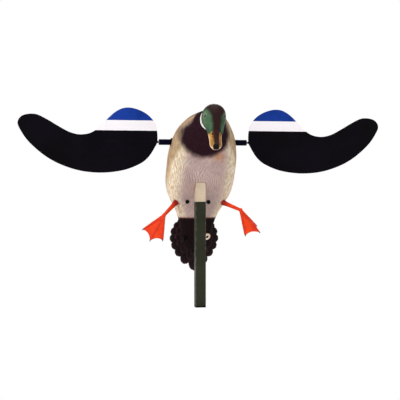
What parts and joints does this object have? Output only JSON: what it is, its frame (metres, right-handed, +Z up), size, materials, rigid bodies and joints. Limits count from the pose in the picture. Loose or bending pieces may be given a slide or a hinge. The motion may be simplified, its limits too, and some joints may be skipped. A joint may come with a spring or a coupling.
{
  "type": "motion wing decoy",
  "caption": "Spinning-wing drake decoy on a square pole: hollow body, motor-driven plug-in wings, turning head, swivelling webbed feet and a battery hatch.",
  "frame": {"origin": "centre of the flat foot of the pole's end plug; the bird's middle plane is at x = 6.4 mm", "axes": "+Z up the pole; the bird faces -Y; +X is the bird's left and runs along the wing axle"},
  "size_m": [0.7982, 0.3143, 0.4336],
  "materials": {
    "pole_paint": "olive green enamel, satin, small chips",
    "black_plastic": "moulded black nylon",
    "pale_plastic": "pale buff moulded plastic, satin",
    "body_paint": "airbrushed flat paint over moulded feather relief",
    "tail_paint": "flat near-black brown paint over feather relief",
    "head_paint": "green head with dark crown, white ring and ochre bill, satin paint",
    "leg_plastic": "orange-red soft moulded plastic",
    "wing_sheet": "thin painted sheet, black with white and blue bands",
    "steel": "bright plated steel",
    "hub_plastic": "black acetal, satin",
    "motor_steel": "zinc plated can",
    "copper": "copper winding and tinned brass tabs",
    "magnet": "nickel plated magnet",
    "foam": "closed-cell foam",
    "battery_case": "dark grey sealed battery case",
    "webbing": "black woven strap",
    "red_wire": "red insulated lead",
    "black_wire": "black insulated lead"
  },
  "bodies": {
    "pole": {"pole_tube": "pole_paint", "pole_end_plug": "black_plastic"},
    "decoy": {"support_post": "pale_plastic", "motor_bracket": "steel", "post_bolt": "steel", "motor_can": "motor_steel", "motor_end_cap": "black_plastic", "motor_magnet_ring": "magnet", "motor_screw_lower": "steel", "motor_screw_upper": "steel", "shaft_bushing_left": "black_plastic", "shaft_bushing_right": "black_plastic", "body_shell": "body_paint", "tail_fan": "tail_paint", "tail_screw": "black_plastic", "hatch_gasket": "foam", "hatch_frame": "black_plastic", "hinge_leaf_body": "steel", "battery_case": "battery_case", "battery_terminal_negative": "copper", "battery_terminal_positive": "copper", "battery_tray": "black_plastic", "battery_strap": "webbing", "belly_screw_left": "black_plastic", "belly_screw_right": "black_plastic", "switch_body": "black_plastic", "switch_nut": "steel", "charge_jack_body": "pale_plastic", "charge_jack_nut": "steel", "lead_battery_to_motor": "red_wire", "lead_battery_to_switch": "black_wire", "lead_switch_to_motor": "black_wire", "lead_jack_to_battery": "red_wire"},
    "drive": {"drive_shaft": "steel", "motor_rotor": "copper", "hub_sleeve_left": "hub_plastic", "hub_sleeve_right": "hub_plastic", "hub_magnet_left": "magnet", "hub_magnet_right": "magnet"},
    "left_wing": {"wing_panel_left": "wing_sheet", "wing_rod_left": "steel", "wing_saddle_left": "steel", "wing_rivet_left_inner": "steel", "wing_rivet_left_outer": "steel"},
    "right_wing": {"wing_panel_right": "wing_sheet", "wing_rod_right": "steel", "wing_saddle_right": "steel", "wing_rivet_right_inner": "steel", "wing_rivet_right_outer": "steel"},
    "head": {"head_shell": "head_paint", "head_bolt": "steel", "head_wing_nut": "steel"},
    "left_leg": {"left_leg": "leg_plastic"},
    "right_leg": {"right_leg": "leg_plastic"},
    "hatch": {"hatch_lid": "body_paint", "hinge_leaf_lid": "steel", "hinge_pin": "steel"},
    "latch": {"latch_knob": "black_plastic", "latch_cam": "steel"},
    "switch": {"switch_lever": "steel"}
  },
  "joints": [
    {"name": "post_in_pole", "type": "slide", "parent": "pole", "child": "decoy", "axis": [0, 0, 1], "range_m": [0, 0.1]},
    {"name": "wing_spin", "type": "hinge", "parent": "decoy", "child": "drive", "pos_m": [0.0064, 0, 0.36], "axis": [1, 0, 0], "continuous": true},
    {"name": "left_wing_plug", "type": "slide", "parent": "drive", "child": "left_wing", "axis": [1, 0, 0], "range_m": [0, 0.05]},
    {"name": "right_wing_plug", "type": "slide", "parent": "drive", "child": "right_wing", "axis": [-1, 0, 0], "range_m": [0, 0.05]},
    {"name": "head_turn", "type": "hinge", "parent": "decoy", "child": "head", "pos_m": [0.0064, -0.103, 0.4], "axis": [0, -0.9848, 0.1736], "range_deg": [-35, 35]},
    {"name": "left_leg_swivel", "type": "hinge", "parent": "decoy", "child": "left_leg", "pos_m": [0.05794, 0.04534, 0.22922], "axis": [0.6823, -0.6488, -0.337], "range_deg": [-20, 20]},
    {"name": "right_leg_swivel", "type": "hinge", "parent": "decoy", "child": "right_leg", "pos_m": [-0.04559, 0.04509, 0.22981], "axis": [-0.5881, -0.6118, -0.5289], "range_deg": [-20, 20]},
    {"name": "hatch_hinge", "type": "hinge", "parent": "decoy", "child": "hatch", "pos_m": [0.0064, 0.07143, 0.34462], "axis": [1, 0, 0], "range_deg": [0, 110]},
    {"name": "latch_turn", "type": "hinge", "parent": "hatch", "child": "latch", "pos_m": [0.0064, 0.10785, 0.25206], "axis": [0, 0.9671, 0.2546], "range_deg": [0, 90]},
    {"name": "switch_throw", "type": "hinge", "parent": "decoy", "child": "switch", "pos_m": [-0.0204, 0.08689, 0.14461], "axis": [0.874, -0.4859, 0], "range_deg": [0, 24]}
  ]
}
